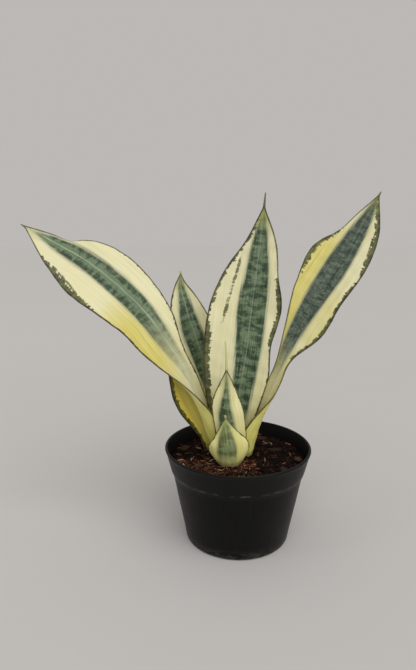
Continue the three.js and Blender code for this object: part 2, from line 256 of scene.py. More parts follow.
# ---------------------------------------------------------------- the leaves
# Lengths in millimetres.  path: the midrib, foot to tip.  awl: length of the hard thin
# point.  left, right: half widths at even stations, looking at the inner face.  cup: half
# angle of the channel at the same stations, in degrees.  face: where the inner face looks
# at the foot, at bend (a share of the length) and at the tip.  rib, rim: thickness at the
# midrib and at the margin.  wave: (height, count, phase) of the swell along the margins.
LEAVES = {
    "leaf_left": dict(
        path=[(-15, 2, 60), (-19, 3, 80), (-25, 3, 98), (-32, 5, 120), (-44, 10, 149),
              (-65, 17, 180), (-89, 26, 209), (-135, 40, 246), (-199, 52, 280)],
        awl=5,
        left=(10, 17, 23, 28, 33, 37, 38, 24, 1), right=(9, 11, 8, 9, 20, 27, 26, 10, 1),
        cup=(85, 80, 62, 34, 20, 16, 14, 12, 10),
        face=[(1, 0.3, 0.3), (0.35, -0.75, 0.55), (0.15, -0.85, 0.45)],
        bend=0.46, rib=3.4, rim=1, wave=(0.8, 2.2, 0.2)),
    "leaf_back": dict(
        path=[(-5, 19, 60), (-10, 22, 100), (-29, 30, 153), (-42, 35, 189), (-51, 40, 221),
              (-52, 42, 238)],
        awl=4,
        left=(5, 6, 8, 13, 19, 20, 19, 13, 1), right=(6, 8, 12, 16, 18, 19, 18, 12, 1),
        cup=(50, 46, 42, 36, 28, 24, 20, 16, 12),
        face=[(0, -1, 0.1), (0.2, -1, 0.1), (0.2, -1, 0.1)],
        bend=0.5, rib=3, rim=1, wave=(0.4, 2, 0.5)),
    "leaf_centre": dict(
        path=[(-5, 4, 60), (-2, 5, 100), (2, 6, 131), (7, 9, 168), (15, 17, 233),
              (20, 22, 274), (23, 26, 307)],
        awl=13,
        left=(6, 16, 29, 36, 39, 38, 29, 13, 0.8), right=(6, 13, 18, 23, 21, 26, 20, 14, 0.8),
        cup=(60, 50, 36, 28, 24, 21, 18, 16, 14),
        face=[(0, -1, 0.1), (0, -1, 0.1), (-0.1, -1, 0.1)],
        bend=0.5, rib=3.4, rim=1, wave=(0.6, 2.4, 0)),
    "leaf_right": dict(
        path=[(6, 0, 60), (10, 0, 80), (15, 1, 100), (22, 3, 121), (33, 6, 148), (47, 12, 180),
              (66, 20, 212), (93, 32, 250), (116, 43, 286), (130, 50, 309)],
        awl=5,
        left=(8, 10, 7, 5, 12, 23, 29, 14, 1), right=(10, 17, 17, 8, 24, 24, 25, 19, 1),
        cup=(85, 80, 62, 34, 20, 16, 14, 12, 10),
        face=[(-1, 0.3, 0.3), (-0.35, -0.85, 0.4), (-0.4, -0.9, 0.3)],
        bend=0.46, rib=3.4, rim=1, wave=(0.8, 2.2, 0)),
    "leaf_left_low": dict(
        path=[(-25, 7, 60), (-28, 9, 82), (-36, 13, 103), (-48, 18, 125), (-57, 23, 148),
              (-63, 28, 172)],
        awl=4,
        left=(2, 3, 5, 9, 12, 12, 9, 5, 1), right=(7, 10, 13, 14, 14, 12, 9, 5, 1),
        cup=(60, 54, 38, 28, 22, 18, 16, 14, 10),
        face=[(1, -0.8, 0.1), (0.6, -1, 0.4), (0.6, -1, 0.4)],
        bend=0.5, rib=3, rim=1, wave=(0.3, 2, 0)),
    "leaf_front": dict(
        path=[(-5, -13, 60), (-6, -17, 91), (-7, -18, 105), (-9, -19, 119), (-11, -19, 131),
              (-11, -17, 147), (-11, -15, 160), (-12, -12, 184)],
        awl=26,
        left=(6, 9, 12, 14, 14, 14, 12, 7, 0.9), right=(6, 9, 12, 14, 14, 14, 12, 7, 0.9),
        cup=(60, 56, 50, 44, 38, 32, 26, 20, 15),
        face=[(0, 1, 0), (0, 1, 0), (0, 1, 0)],
        bend=0.5, rib=3, rim=0.9, wave=(0, 1, 0)),
    "leaf_front_small": dict(
        path=[(-8, -21, 60), (-8, -26, 78), (-9, -28, 95), (-11, -26, 110), (-12, -23, 122)],
        awl=3,
        left=(5, 6, 9, 15, 19, 18, 12, 6, 1), right=(5, 6, 9, 15, 19, 18, 12, 6, 1),
        cup=(60, 60, 58, 54, 48, 42, 36, 28, 20),
        face=[(0, 1, 0), (0, 1, 0), (0, 1, 0)],
        bend=0.5, rib=2.6, rim=0.9, wave=(0, 1, 0)),
}

# How each leaf is marked, in millimetres and shares of the leaf's length from the foot.
# stripe_left, stripe_right: how far the dark stripe reaches from the midrib at even
# stations.  fade: where the stripe rises from pale to its full strength.  gold: (side,
# from, to, strength) of yellower margin; a strength past 1 also paints a deep gold glow,
# light shining through a leaf that stands in shade.  flecks: (side, from, to, strength,
# reach) of green flecks near a margin.  Side -1 is the left one, 1 the right one, 0 both.
# lines: (from, off the midrib, to, off the midrib, width) of streaks of flecks inside the
# blade.
# warm: how yellow the foot is.  pale_rib: how light the middle of the stripe is.  slate:
# how grey the stripe is.  tip: how green the last stretch is.  curls: (side, at, spread,
# depth) where a margin turns up or back.  point: how brown the hard point is.
NO_STRIPE = (-9,) * 9
MARKS = {
    "leaf_left": dict(
        stripe_left=(0.5, 2, 4, 8, 11.4, 11.4, 10.4, 7.4, -2),
        stripe_right=(0.5, 1, 2.5, 5, 8, 10, 9.6, 7, -2), fade=(60, 170),
        gold=[(-1, 0.33, 0.6, 1), (1, 0.2, 0.42, 0.3)],
        flecks=[(-1, 0.66, 0.88, 1.3, 8), (-1, 0.4, 0.7, 0.35, 2), (1, 0.3, 0.75, 0.3, 2)],
        lines=[(0.7, -36, 0.87, -21, 2.4)], warm=0.8, pale_rib=0.8, slate=0.1, tip=0.35,
        curls=[(1, 0.87, 0.035, -7)], point=0.8),
    "leaf_back": dict(
        stripe_left=(0.5, 4, 6, 8, 9.6, 10.6, 10.4, 5.4, 1),
        stripe_right=(0.5, 3, 5, 6.5, 7.6, 8.2, 7.4, 4.8, 1), fade=(10, 60),
        gold=[(-1, 0.1, 0.5, 0.4)],
        flecks=[(-1, 0.5, 0.95, 0.4, 2)],
        lines=[], warm=0.7, pale_rib=0.45, slate=0.2, tip=0.4, curls=[], point=0.3),
    "leaf_centre": dict(
        stripe_left=(1, 4, 6.5, 8.2, 10.7, 12.9, 10, 7, 1),
        stripe_right=(2, 5, 9, 11.5, 12.7, 12.5, 11.6, 6.5, 1), fade=(15, 60),
        gold=[(-1, 0.02, 0.3, 0.45), (1, 0.02, 0.35, 0.3)],
        flecks=[(-1, 0.2, 0.56, 1.3, 9), (1, 0.5, 0.74, 1.2, 6), (-1, 0.6, 0.95, 0.7, 5),
                (1, 0.1, 0.5, 0.35, 2)],
        lines=[(0.56, -25, 0.82, -15, 2.4)], warm=0.7,
        pale_rib=0.3, slate=0.1, tip=0.8, curls=[(1, 0.6, 0.04, -2), (1, 0.7, 0.05, 2)],
        point=0.9),
    "leaf_right": dict(
        stripe_left=(0.5, 1, 2.6, 4.5, 7, 9.4, 11, 7.4, 1),
        stripe_right=(0.5, 0.6, 1, 3.5, 7, 10, 10.4, 7.6, 1), fade=(66, 135),
        gold=[(-1, 0.3, 0.84, 1), (1, 0.2, 0.66, 0.5)],
        flecks=[(-1, 0.66, 0.84, 1.1, 7), (1, 0.74, 0.99, 1.1, 8), (1, 0.4, 0.7, 0.9, 5)],
        lines=[(0.78, 20, 0.93, 12, 1.4)], warm=0.8,
        pale_rib=0.1, slate=0.9, tip=0.45, curls=[(-1, 0.85, 0.05, -4)], point=0.8),
    "leaf_left_low": dict(
        stripe_left=NO_STRIPE, stripe_right=NO_STRIPE, fade=(110, 300),
        # leaf_left_low stands in leaf_left's shade: its gold paints light shining through it,
        # deep gold past 1, and lifts its shaded right half
        gold=[(-1, 0, 1, 1.4), (0, 0, 1, 1.14)],
        flecks=[(-1, 0, 1, 1.1, 6), (1, 0.3, 1, 0.5, 3)],
        lines=[], warm=0.2, pale_rib=0, slate=0, tip=0.2, curls=[], point=0.5),
    "leaf_front": dict(
        stripe_left=(2, 3, 3.5, 3.8, 3.8, 3.4, 2.8, 1.6, 0.6),
        stripe_right=(3, 5, 7, 8, 8.4, 8, 5, 2.2, 0.6), fade=(6, 30),
        gold=[(0, 0.1, 0.5, 0.3)],
        flecks=[(0, 0.2, 0.9, 0.3, 2)],
        lines=[], warm=0.25, pale_rib=0.1, slate=0, tip=0.5, curls=[], point=0),
    "leaf_front_small": dict(
        stripe_left=(1, 3, 4.6, 5.6, 6.4, 6.2, 4.8, 2.8, 0.6),
        stripe_right=(2, 5, 7.4, 9, 9.8, 9.4, 7.4, 4, 1), fade=(6, 34),
        gold=[(0, 0, 0.35, 0.4)],
        flecks=[(0, 0.3, 0.8, 0.25, 2)],
        lines=[], warm=0.45, pale_rib=0.1, slate=0, tip=0.5, curls=[], point=0),
}
# The flat grid that a blade starts as, its rows a little closer together towards the tip.
ROWS = 150
COLUMNS = 42
ROW_CROWDING = 0.92
MARGIN_ROUND = 0.22


def ease(f):
    f = np.clip(f, 0, 1)
    return f * f * (3 - 2 * f)


def along(values, s):
    """A smooth run through evenly spaced values, read at s from 0 to 1."""
    values = np.array(values, float)
    last = len(values) - 1
    at = np.clip(s, 0, 1) * last
    i = np.minimum(at.astype(int), last - 1)
    f = at - i
    run = np.concatenate([[2 * values[0] - values[1]], values, [2 * values[-1] - values[-2]]])
    before, p, q, after = run[i], run[i + 1], run[i + 2], run[i + 3]
    m, n = (q - before) / 2, (after - p) / 2
    return ((2 * f**3 - 3 * f**2 + 1) * p + (f**3 - 2 * f**2 + f) * m
            + (3 * f**2 - 2 * f**3) * q + (f**3 - f**2) * n)


def one_long(directions):
    """Each direction, made one unit long."""
    return directions / np.linalg.norm(directions, axis=1)[:, None]


def midrib(path, t):
    """Points and directions at shares t of the smooth line through path, and its length."""
    stations = len(path) - 1

    def line(x):
        return np.stack([along([p[k] for p in path], x / stations) for k in range(3)], 1)

    fine = np.linspace(0, stations, 4001)
    steps = np.linalg.norm(np.diff(line(fine), axis=0), axis=1)
    run = np.concatenate([[0], np.cumsum(steps)])
    at = np.interp(t * run[-1], run, fine)
    ahead = line(np.minimum(at + 1e-3, stations)) - line(np.maximum(at - 1e-3, 0))
    return line(at), one_long(ahead), run[-1]


def window(x, low, high, soft):
    """1 between low and high, 0 outside, with soft shoulders."""
    return ease((x - low) / soft + 0.5) * ease((high - x) / soft + 0.5)


class Layout:
    """Where each point of a leaf's flat grid lies on the blade.

    t is its share of the whole length, s its share of the blade without the hard point, and
    u runs from -1 at the left margin to 1 at the right.  The rest is in millimetres.
    """

    def __init__(self, leaf, flat, seed):
        self.t = np.clip(flat[:, 1] + 0.5, 0, 1) ** ROW_CROWDING
        self.u = np.clip(flat[:, 0] * 2, -1, 1)
        self.centre, self.ahead, self.length = midrib(leaf["path"], self.t)
        self.reach = self.t * self.length
        blade_end = 1 - leaf["awl"] / self.length
        self.s = self.t / blade_end
        self.half = self.half_width(leaf, blade_end, seed)
        self.across = np.sign(self.u) * self.half * np.abs(self.u)
        self.margin = self.half * (1 - np.abs(self.u))

    def half_width(self, leaf, blade_end, seed):
        """Half the width on the point's own side; the margin is never quite even."""
        sharp = np.where(self.s > 1, 1 - 0.5 * (self.t - blade_end) / (1 - blade_end), 1)
        left = along(leaf["left"], self.s) * sharp
        right = along(leaf["right"], self.s) * sharp
        nick = (0.5 * np.sin(self.reach / 5.3 + seed) + 0.3 * np.sin(self.reach / 2.1 + 2 * seed)
                + 0.4 * np.sin(self.reach / 11 + 3 * seed))
        return np.where(self.u < 0, left, right) * (1 + 0.006 * nick * np.abs(self.u) ** 6)


def facing(leaf, layout):
    """Where the inner face looks at each point, square to the midrib."""
    t = layout.t
    foot, mid, tip = one_long(np.array(leaf["face"], float))
    lower = ease(t / leaf["bend"])[:, None]
    upper = ease((t - leaf["bend"]) / (1 - leaf["bend"]))[:, None]
    face = np.where((t < leaf["bend"])[:, None],
                    foot * (1 - lower) + mid * lower, mid * (1 - upper) + tip * upper)
    return one_long(face - (face * layout.ahead).sum(1)[:, None] * layout.ahead)


def ripples(layout, seed):
    """A shallow groove over the midrib, faint ribs along the blade and cross ripples."""
    t, u, reach, across = layout.t, layout.u, layout.reach, layout.across
    wide = np.minimum(layout.half / 12, 1) * ease((1 - t) * 14) * ease(t * 8)
    groove = -0.45 * np.exp(-(across / 2.4) ** 2)
    ribs = 0.1 * np.sin(across / 1.3 + 0.6 * np.sin(reach / 40 + seed))
    cross = 0.16 * np.sin(reach / 2.6 + 1.7 * np.sin(across / 7 + seed)
                          + 2 * np.sin(reach / 23 + seed))
    frill = 0.35 * np.abs(u) ** 4 * np.sin(reach / 8.5 + 2.3 * seed + np.sign(u))
    return wide * (groove + ribs + cross + frill)


def bend_blade(blade, leaf, curls, layout, seed):
    """Moves the flat grid to the leaf's inner face."""
    t, u, s, half = layout.t, layout.u, layout.s, layout.half
    normal = facing(leaf, layout)
    side = np.cross(layout.ahead, normal)
    cup = np.radians(along(leaf["cup"], s))
    height, count, phase = leaf["wave"]
    swell = height * np.sin(2 * np.pi * (count * t + phase)) * ease(t) * (1 - t) * 4
    turn = cup * np.abs(u)
    out = np.sign(u) * half * np.sin(turn) / cup
    up = half * (1 - np.cos(turn)) / cup + swell * np.abs(u) ** 3 + ripples(layout, seed)
    for which, at, spread, depth in curls:
        up += depth * np.clip(which * u, 0, 1) ** 2.5 * np.exp(-((s - at) / spread) ** 2)
    points = layout.centre + side * out[:, None] + normal * up[:, None]
    move_points(blade, points * MM)


def thicken_blade(blade, leaf, layout):
    """Gives the inner face its back, thick at the midrib and thin at the margins."""
    t = layout.t
    inner = len(t)
    rib = leaf["rib"] * (1 - 0.62 * ease(t)) * np.minimum(1, 0.3 + 5 * (1 - t))
    rim = leaf["rim"] * np.minimum(1, 0.4 + 5 * (1 - t))
    thick = rim + (rib - rim) * (1 - np.abs(layout.u) ** 1.6)
    group = blade.vertex_groups.new(name="thickness")
    for i, share in enumerate(thick / leaf["rib"]):
        group.add([i], float(share), "REPLACE")
    finish_shape(blade, "SOLIDIFY", thickness=leaf["rib"] * MM, offset=-1.0,
                 vertex_group="thickness", use_even_offset=False)
    note(blade, "outer_face", np.arange(len(blade.data.vertices)) >= inner)
    finish_shape(blade, "BEVEL", width=MARGIN_ROUND * MM, segments=2, limit_method="ANGLE",
                 angle_limit=math.radians(50))
    smooth(blade, 60)


def mark_blade(blade, marks, awl, layout, seed):
    """Notes what the finish reads at each point, and lays the blade out for its grain."""
    t, u, s, across, reach = layout.t, layout.u, layout.s, layout.across, layout.reach
    stripe = np.minimum(along(marks["stripe_left"], s) + across,
                        along(marks["stripe_right"], s) - across)
    gold, fleck, line = np.zeros(len(t)), np.zeros(len(t)), np.zeros(len(t))
    for which, low, high, strength in marks["gold"]:
        here = 1.0 if which == 0 else ease(which * u * 2)
        gold = np.maximum(gold, strength * here * window(s, low, high, 0.16))
    for which, low, high, strength, deep in marks["flecks"]:
        here = 1.0 if which == 0 else which * u > 0
        near = 1 - ease(layout.margin / deep - 0.25)
        fleck = np.maximum(fleck, strength * here * near * window(s, low, high, 0.1))
    for start, first, stop, last, wide in marks["lines"]:
        off = np.abs(across - np.interp(s, (start, stop), (first, last)))
        line = np.maximum(line, (1 - ease(off / wide)) * window(s, start, stop, 0.08))
    pale_until, full_from = marks["fade"]
    notes = {"stripe_depth": stripe, "margin_depth": layout.margin, "gold": gold,
             "fleck": fleck, "fleck_line": line, "from_foot": reach,
             "to_point": (1 - t) * layout.length - awl, "midrib": np.abs(across),
             "stripe_strength": ease((reach - pale_until) / (full_from - pale_until))}
    for name in ("pale_rib", "slate", "warm", "tip", "point"):
        notes[name] = np.full(len(t), float(marks[name]))
    for name, values in notes.items():
        note(blade, name, values)

    layer = blade.data.uv_layers.active
    layer.name = "blade_mm"
    corner = np.empty(len(blade.data.loops), int)
    blade.data.loops.foreach_get("vertex_index", corner)
    spread = np.stack([across + 200 * seed, reach], 1)[corner]
    layer.data.foreach_set("uv", (spread * MM).ravel())


def grow_leaf(name, seed):
    """A waxy channelled blade with a thick midrib, thin margins and a hard point."""
    leaf, marks = LEAVES[name], MARKS[name]
    put_down_everything()
    bpy.ops.mesh.primitive_grid_add(x_subdivisions=COLUMNS, y_subdivisions=ROWS, size=1,
                                    calc_uvs=True)
    blade = bpy.context.object
    blade.name = name + "_blade"
    layout = Layout(leaf, points_of(blade), seed)
    bend_blade(blade, leaf, marks["curls"], layout, seed)
    mark_blade(blade, marks, leaf["awl"], layout, seed)
    thicken_blade(blade, leaf, layout)

    # sit the blade exactly where its place in the frame is
    low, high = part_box(name)
    here = points_of(blade)
    middle = (here.min(0) + here.max(0)) / 2
    move_points(blade, here + (np.array(low + high) / 2 - middle))
    return blade


def pale_sides(f, grain, gold, stripe):
    """Cream, yellow where gold, deep gold as painted light through a shaded leaf, thin green
    hints near the stripe.
    """
    cream = f.mix(f.ease(grain["streaks"], 0.25, 0.75), shade(212, 210, 168),
                  shade(228, 224, 186))
    cream = f.mix(f.ease(grain["broad"], 0.3, 0.7) * 0.45, cream, shade(224, 217, 166))
    yellow = f.mix(f.ease(grain["streaks"], 0.25, 0.75), shade(196, 186, 92),
                   shade(218, 208, 128))
    side = f.mix(gold * f.ease(grain["broad"] + 0.3 * gold, 0.25, 0.65), cream, yellow)
    # gold past 1 turns deep gold: painted light shining through a leaf that stands in shade
    deep = f.mix(f.ease(grain["broad"], 0.35, 0.65), shade(226, 200, 62), shade(234, 212, 96))
    side = f.mix(f.ease(gold, 1.05, 1.3) * 0.9, side, deep)
    hint = f.ease(grain["hairs"], 0.52, 0.7) * f.ease(stripe, -8.0, 0.5) * 0.5
    return f.mix(hint, side, shade(160, 168, 134))


def dark_stripe(f, grain, stripe, from_foot):
    """Green cross bands, lighter along the middle of the stripe, greyer where it is slate."""
    streaks, hairs = grain["streaks"], grain["hairs"]
    bands, zigzag = grain["bands"], grain["zigzag"]
    rib, pale_rib = f.noted("midrib"), f.noted("pale_rib")
    dark = f.mix(f.ease(streaks, 0.25, 0.75), shade(32, 52, 34), shade(54, 76, 50))
    light = f.mix(f.ease(hairs, 0.25, 0.75), shade(84, 106, 80), shade(124, 142, 108))
    middle = (1 - f.ease(rib, 0.6, 6.5)) * pale_rib
    rim = 1 - f.ease(stripe, 0.5, 5.5)
    low_down = 1 - f.ease(from_foot, 60.0, 160.0)
    weave = (0.62 * bands + 0.22 * zigzag + 0.2 * streaks + 0.1 * hairs
             + 0.16 * middle - 0.05 * rim - 0.02 + 0.3 * (hairs - 0.5) * low_down)
    green = f.mix(f.ease(weave, 0.47, 0.66), dark, light)
    mottle = 0.25 * bands + 0.5 * zigzag + 0.2 * streaks + 0.15 * hairs
    grey = f.mix(f.ease(mottle, 0.44, 0.74), shade(42, 55, 50), shade(104, 114, 100))
    green = f.mix(f.noted("slate") * 0.85, green, grey)
    silver = (1 - f.ease(rib, 0.25, 0.9)) * pale_rib * f.ease(hairs, 0.3, 0.55)
    return f.mix(silver * 0.6, green, shade(190, 198, 172))


def leaf_specks(f, gold, margin, from_foot):
    """Blots for the margins and the hem, and how strongly a point is flecked."""
    fleck, line = f.noted("fleck"), f.noted("fleck_line")
    blot_place = f.node("ShaderNodeCombineXYZ", None,
                        {"X": margin, "Y": from_foot * 0.4, "Z": gold * 3.0}, "Vector")
    rung_place = f.node("ShaderNodeCombineXYZ", None,
                        {"X": margin * 0.3, "Y": from_foot, "Z": gold * 3.0}, "Vector")
    blots = f.cloud(blot_place, 0.45, 3.0, 0.6, 0.3)
    rungs = f.cloud(rung_place, 0.28, 3.0, 0.6, 0.4)
    patchy = 0.4 * blots + 0.6 * rungs
    specks = f.ease(patchy + 0.24 * fleck - 0.03 * margin, 0.53, 0.6) * f.ease(fleck, 0.02, 0.2)
    strays = f.ease(patchy + 0.26 * line, 0.56, 0.68) * f.ease(line, 0.1, 0.5)
    return blots, specks + strays * (1 - specks) * 0.9


def leaf_finish():
    """Waxy variegated leaf: banded grey-green stripe, cream to yellow sides, dark hem."""
    f = Finish("variegated_leaf")
    uv = f.node("ShaderNodeUVMap", {"uv_map": "blade_mm"}, None, "UV")
    stripe, margin, gold = f.noted("stripe_depth"), f.noted("margin_depth"), f.noted("gold")
    from_foot, to_point = f.noted("from_foot"), f.noted("to_point")
    strength, warm = f.noted("stripe_strength"), f.noted("warm")
    grain = {"streaks": f.cloud(f.stretched(uv, (1.0, 0.03, 1.0)), 620, 2.0, 0.5),
             "hairs": f.cloud(f.stretched(uv, (1.0, 0.025, 1.0)), 1900, 2.0, 0.55),
             "bands": f.cloud(f.stretched(uv, (0.4, 1.0, 1.0)), 210, 2.5, 0.5, 0.5),
             "zigzag": f.cloud(f.stretched(uv, (0.5, 1.0, 1.0)), 520, 2.0, 0.5, 1.0),
             "broad": f.cloud(uv, 45, 2.0)}
    streaks, hairs = grain["streaks"], grain["hairs"]
    bands, zigzag = grain["bands"], grain["zigzag"]

    # the stripe's edge is frayed along the grain, with a faint green halo
    edge = stripe + 5.0 * (streaks - 0.5) + 2.2 * (hairs - 0.5) + 0.8 * (zigzag - 0.5)
    within = f.ease(edge, -1.8, 1.6)
    shown = within * (0.05 + 0.95 * strength)
    colour = f.mix(shown, pale_sides(f, grain, gold, stripe),
                   dark_stripe(f, grain, stripe, from_foot))
    halo = f.ease(edge, -3.2, 0.0) * (1 - within) * 0.4 * strength
    colour = f.mix(halo, colour, shade(158, 166, 136))

    # paler, yellower foot, brightest on the back of the leaf, where its own yellow is raised
    # further as painted light lifting the shaded sheath
    foot = (1 - f.ease(from_foot, 14.0, 70.0)) * warm
    colour = f.mix(foot * (1 - 0.7 * shown), colour,
                   f.mix(f.ease(streaks, 0.3, 0.7), shade(174, 174, 82),
                         shade(204, 200, 104)))
    back = f.noted("outer_face") * (1 - f.ease(from_foot, 60.0, 130.0))
    colour = f.mix(back * warm * (1 - 0.9 * shown), colour,
                   f.mix(f.ease(streaks, 0.3, 0.7), shade(226, 218, 104),
                         shade(244, 238, 140)))

    # green flecks that run together along the margins
    blots, specks = leaf_specks(f, gold, margin, from_foot)
    olive = f.mix(f.ease(bands, 0.35, 0.65), shade(32, 42, 14), shade(84, 92, 40))
    colour = f.mix(specks * 0.92, colour, olive)

    # a smear of damp mix where the blade stands in it
    smear = 1 - f.ease(from_foot + 9.0 * (blots - 0.5), 18.0, 25.0)
    colour = f.mix(smear * 0.75, colour, f.mix(hairs, shade(70, 48, 30), shade(128, 94, 58)))

    # green towards the point, a dark hem, and the hard point itself
    greener = (1 - f.ease(to_point, 1.0, 24.0)) * f.noted("tip")
    colour = f.mix(greener, colour, f.mix(f.ease(streaks, 0.3, 0.7), shade(112, 122, 60),
                                          shade(162, 165, 92)))
    hem = (1 - f.ease(margin + 0.9 * (blots - 0.5), 0.6, 1.5)) * f.ease(from_foot, 4.0, 20.0)
    colour = f.mix(hem * 0.9, colour, f.mix(f.ease(bands, 0.4, 0.6), shade(40, 36, 18),
                                            shade(78, 70, 38)))
    horn = f.mix(f.noted("point"), shade(186, 186, 130), shade(84, 76, 58))
    colour = f.mix(1 - f.ease(to_point, -3.0, 0.5), colour, horn)

    roughness = 0.42 + 0.14 * (streaks - 0.5) + 0.1 * (bands - 0.5) + 0.1 * within
    relief = 0.5 * streaks + 0.35 * bands + 0.2 * zigzag + 0.25 * hairs
    return f.surface(colour, roughness, f.bump(relief, 0.35, 0.0006), Coat_Roughness=0.3,
                     Coat_Weight=0.05, Specular_IOR_Level=0.28)


# ---------------------------------------------------------------- the pot
# Lengths in millimetres.  WALL_RINGS: (radius, height) of each ring of the wall, from the
# disc of the foot up the outside, over the lip and down the inside.
RIM_RADIUS = 65
POT_HEIGHT = 86
FOOT_RADIUS = 43.8
WALL_RINGS = [
    # the rounded foot and the tapering body
    (45, 0.3), (46, 0.9), (46.6, 1.9), (46.8, 3), (48.4, 12), (50.3, 22), (52.3, 32),
    (54.2, 42), (56, 52), (57.6, 60), (58.3, 64),
    # the ridge and the band above it
    (58.8, 64.5), (59.5, 65.1), (59.8, 66), (60.4, 68), (61.5, 72.5), (62.9, 78), (64, 82.4),
    # the lip
    (64.4, 83.4), (64.8, 84), (65, 84.6), (65, 85.3), (64.8, 85.7), (64.4, 86), (63.6, 86),
    (63, 85.8), (62.7, 85.2),
    # the inside, down to the floor
    (60.9, 77), (58.2, 66.4), (56.7, 64.4), (51, 34), (45.6, 5.6), (44.6, 3.4), (43.5, 2.3)]
HOLES = 6
HOLE_RADIUS = 4
HOLE_CIRCLE = 31
DRILL_LENGTH = 12


def mould_pot():
    """One moulded wall, drawn up ring by ring from a flat disc, with holes in the base."""
    put_down_everything()
    bpy.ops.mesh.primitive_circle_add(vertices=128, radius=FOOT_RADIUS * MM, fill_type="NGON")
    pot = bpy.context.object
    pot.name = "pot_shell"
    open_for_shaping()
    radius, height = FOOT_RADIUS, 0.0
    for next_radius, next_height in WALL_RINGS:
        draw_up((next_height - height) * MM, next_radius / radius)
        radius, height = next_radius, next_height
    close_shape()
    drill_holes(pot)
    dent_pot(pot)
    smooth(pot, 38)
    return pot


def drill_holes(pot):
    """A ring of drainage holes through the base, cut with one joined drill."""
    put_down_everything()
    drills = []
    for i in range(HOLES):
        angle = 2 * math.pi * (i + 0.5) / HOLES
        bpy.ops.mesh.primitive_cylinder_add(
            vertices=32, radius=HOLE_RADIUS * MM, depth=DRILL_LENGTH * MM,
            location=(HOLE_CIRCLE * MM * math.cos(angle), HOLE_CIRCLE * MM * math.sin(angle), 0))
        drills.append(bpy.context.object)
    drill = joined(drills, "drill")
    finish_shape(pot, "BOOLEAN", object=drill, operation="DIFFERENCE", solver="EXACT")
    bpy.data.objects.remove(drill)


def dent_pot(pot):
    """A pot this thin is never quite round, least of all above its middle."""
    points = points_of(pot)
    angle = np.arctan2(points[:, 1], points[:, 0])
    rise = np.clip(points[:, 2] / (POT_HEIGHT * MM), 0, 1)
    loose = rise * (1 - 0.6 * rise)
    dent = (0.5 * np.cos(2 * angle + 0.7) + 0.22 * np.cos(3 * angle + 1.9)) * loose
    dent -= 0.3 * np.exp(-((angle + 1.9) / 0.35) ** 2) * np.sin(np.pi * rise)
    scale = 1 + dent * MM / np.maximum(np.hypot(points[:, 0], points[:, 1]), 20 * MM)
    points[:, :2] *= scale[:, None]
    move_points(pot, points)


def pot_finish():
    """Black satin plastic: faint flow marks, rubbed ridges, dust and dried splashes."""
    f = Finish("satin_black_plastic")
    place = f.place()
    height = f.node("ShaderNodeSeparateXYZ", None, {"Vector": place}, "Z")
    flow = f.cloud(f.stretched(place, (1.0, 1.0, 0.09)), 420, 3.0, 0.6)
    mottle = f.cloud(place, 90, 4.0, 0.6)
    grain = f.cloud(place, 2600, 2.0, 0.5)
    rubs = f.cloud(f.stretched(place, (0.6, 0.6, 1.6)), 210, 5.0, 0.72, 1.2)
    spots = f.node("ShaderNodeTexVoronoi", {"feature": "F1"},
                   {"Vector": place, "Scale": 260.0}, "Distance")
    dust = f.cloud(place, 700, 4.0, 0.7)

    rub = f.ease(rubs, 0.6, 0.74)
    dusty = f.ease(dust, 0.52, 0.75) * (0.35 + f.ease(mottle, 0.4, 0.65))
    splash = (1 - f.ease(spots, 0.05, 0.1)) * f.ease(mottle, 0.5, 0.62)
    colour = f.mix(f.ease(flow, 0.3, 0.7), shade(5, 5, 5), shade(10, 10, 10))
    colour = f.mix(rub * 0.3, colour, shade(46, 45, 43))
    # lighter in patches towards the foot
    lighter_near_foot = (1 - f.ease(height, 2 * MM, 12 * MM)) * f.ease(rubs, 0.42, 0.6)
    colour = f.mix(lighter_near_foot * 0.5, colour, shade(74, 72, 68))
    colour = f.mix(dusty * 0.1, colour, shade(70, 66, 60))
    colour = f.mix(splash * 0.16, colour, shade(120, 114, 104))
    # the band above the ridge painted a little lighter all round, a painted highlight
    collar_highlight = f.ease(height, 65 * MM, 68 * MM)
    colour = f.mix(collar_highlight * 0.5, colour, shade(18, 18, 18))
    ridge = f.ease(height, 65.2 * MM, 65.6 * MM) * (1 - f.ease(height, 66.6 * MM, 67.6 * MM))
    colour = f.mix(ridge * f.ease(mottle, 0.42, 0.62) * 0.4, colour, shade(96, 96, 94))
    roughness = (0.42 + 0.12 * (flow - 0.5) + 0.2 * rub + 0.22 * dusty
                 + 0.1 * (mottle - 0.5) - 0.08 * ridge)
    normal = f.bump(0.6 * flow + 0.5 * mottle + 0.12 * grain, 0.3, 0.0004)
    normal = f.bump(rub + splash * 0.6, 0.18, 0.0002, normal)
    return f.surface(colour, roughness, normal, Specular_IOR_Level=0.14)


# ---------------------------------------------------------------- the potting mix
# Lengths in millimetres.  MIX_WALL: (radius, height) of each ring of the bed's side, from
# its floor up to the edge of its top.
MIX_FOOT_RADIUS = 38.0
MIX_FLOOR = 2.6
MIX_TOP = 76
MIX_CREST = 80.6
MIX_WALL = [(40, 2.6), (44.2, 6.5), (45.4, 9), (49.5, 30), (55.6, 63.8), (57.6, 66.6),
            (58.9, 72), (59.5, 75.4)]


def fill_mix():
    """A bed of coir, raised from a disc up the inside of the pot, its top worked rough."""
    put_down_everything()
    bpy.ops.mesh.primitive_circle_add(vertices=160, radius=MIX_FOOT_RADIUS * MM,
                                      fill_type="NGON", location=(0, 0, MIX_FLOOR * MM))
    bed = bpy.context.object
    bed.name = "coir_bed"
    settle(bed)
    open_for_shaping()
    radius, height = MIX_FOOT_RADIUS, MIX_FLOOR
    for next_radius, next_height in MIX_WALL:
        rise = max(next_height - height, 0.02)
        draw_up(rise * MM, next_radius / radius)
        radius, height = next_radius, height + rise
    # rings across the top, wider apart near the middle, give it points to be worked with
    while radius > 4:
        step = 1.3 if radius > 16 else 2.2
        draw_up(0, (radius - step) / radius)
        radius -= step
    bpy.ops.mesh.poke()
    close_shape()
    work_surface(bed)
    smooth(bed, 180)
    return bed


